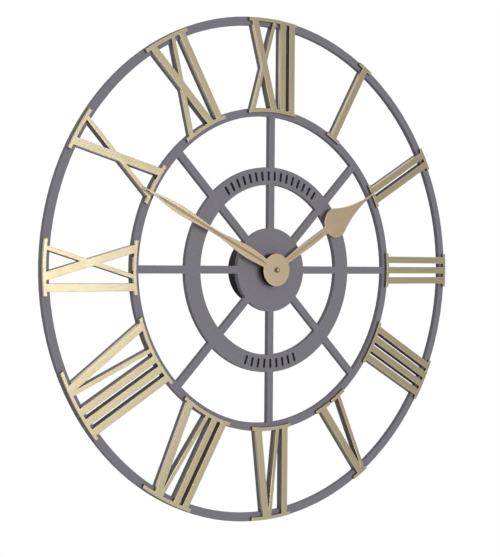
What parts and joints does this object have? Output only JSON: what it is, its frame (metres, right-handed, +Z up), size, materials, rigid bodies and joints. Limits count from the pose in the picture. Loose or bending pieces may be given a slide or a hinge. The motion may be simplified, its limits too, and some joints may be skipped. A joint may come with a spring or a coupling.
{
  "type": "wall clock",
  "caption": "Round skeleton wall clock: an open cut-plate frame with raised Roman numerals, two hands and a battery quartz movement in a drum behind the hub.",
  "frame": {"origin": "centre of the hanger's keyhole on the wall plane, which the drum's back rim also touches; the hands turn about a line 29 mm below it", "axes": "+Y points into the wall, along the hand axis, away from the viewer; +Z points up to the twelve; +X points to the three as the clock is read"},
  "size_m": [0.6099, 0.0466, 0.61],
  "materials": {
    "frame_paint": "satin grey paint with a faint violet cast",
    "numeral_gold": "satin pale gold",
    "hand_gold": "satin pale gold",
    "drum_black": "matte black",
    "brass": "turned brass",
    "rubber": "matte",
    "zinc_steel": "zinc plated",
    "case_plastic": "moulded black plastic",
    "gear_plastic": "natural moulded plastic",
    "knob_plastic": "dark moulded plastic",
    "battery_label": "plain printed film over a steel can",
    "board": "solder mask",
    "copper_wire": "enamelled copper winding"
  },
  "bodies": {
    "dial": {"frame": "frame_paint", "numeral_12": "numeral_gold", "numeral_01": "numeral_gold", "numeral_02": "numeral_gold", "numeral_03": "numeral_gold", "numeral_04": "numeral_gold", "numeral_05": "numeral_gold", "numeral_06": "numeral_gold", "numeral_07": "numeral_gold", "numeral_08": "numeral_gold", "numeral_09": "numeral_gold", "numeral_10": "numeral_gold", "numeral_11": "numeral_gold", "washer": "brass", "hex_nut": "brass", "gasket": "rubber", "drum": "drum_black", "hanger_plate": "zinc_steel", "hanger_screws": "zinc_steel", "movement_case": "case_plastic", "bushing": "brass", "back_cover": "case_plastic", "battery": "battery_label", "battery_contacts": "zinc_steel", "circuit_board": "board", "quartz_crystal": "zinc_steel", "coil": "copper_wire", "stator": "zinc_steel"},
    "minute": {"minute_hand": "hand_gold", "hand_nut": "hand_gold", "minute_arbor": "brass", "centre_wheel": "brass"},
    "hour": {"hour_hand": "hand_gold", "hour_wheel": "gear_plastic"},
    "motion": {"motion_wheel": "gear_plastic"},
    "knob": {"set_knob": "knob_plastic"},
    "third": {"third_wheel": "gear_plastic"},
    "seconds": {"seconds_wheel": "gear_plastic"},
    "intermediate": {"intermediate_wheel": "gear_plastic"},
    "rotor": {"rotor": "gear_plastic"}
  },
  "joints": [
    {"name": "minute_spin", "type": "hinge", "parent": "dial", "child": "minute", "pos_m": [0, -0.015, -0.029], "axis": [0, 1, 0], "continuous": true},
    {"name": "hour_spin", "type": "hinge", "parent": "dial", "child": "hour", "pos_m": [0, -0.015, -0.029], "axis": [0, 1, 0], "continuous": true},
    {"name": "motion_spin", "type": "hinge", "parent": "dial", "child": "motion", "pos_m": [0.012, -0.015, -0.029], "axis": [0, 1, 0], "continuous": true},
    {"name": "knob_spin", "type": "hinge", "parent": "dial", "child": "knob", "pos_m": [0.018, -0.015, -0.01861], "axis": [0, 1, 0], "continuous": true},
    {"name": "third_spin", "type": "hinge", "parent": "dial", "child": "third", "pos_m": [-0.0108, -0.015, -0.029], "axis": [0, 1, 0], "continuous": true},
    {"name": "seconds_spin", "type": "hinge", "parent": "dial", "child": "seconds", "pos_m": [-0.01228, -0.015, -0.02063], "axis": [0, 1, 0], "continuous": true},
    {"name": "intermediate_spin", "type": "hinge", "parent": "dial", "child": "intermediate", "pos_m": [-0.00697, -0.015, -0.01533], "axis": [0, 1, 0], "continuous": true},
    {"name": "rotor_spin", "type": "hinge", "parent": "dial", "child": "rotor", "pos_m": [0, -0.015, -0.01472], "axis": [0, 1, 0], "continuous": true}
  ],
  "couplings": [
    {"joint": "hour_spin", "follows": "minute_spin", "ratio": 0.083333},
    {"joint": "motion_spin", "follows": "minute_spin", "ratio": -0.33333},
    {"joint": "knob_spin", "follows": "minute_spin", "ratio": 1},
    {"joint": "third_spin", "follows": "minute_spin", "ratio": -8},
    {"joint": "seconds_spin", "follows": "minute_spin", "ratio": 60},
    {"joint": "intermediate_spin", "follows": "minute_spin", "ratio": -300},
    {"joint": "rotor_spin", "follows": "minute_spin", "ratio": 1800}
  ]
}
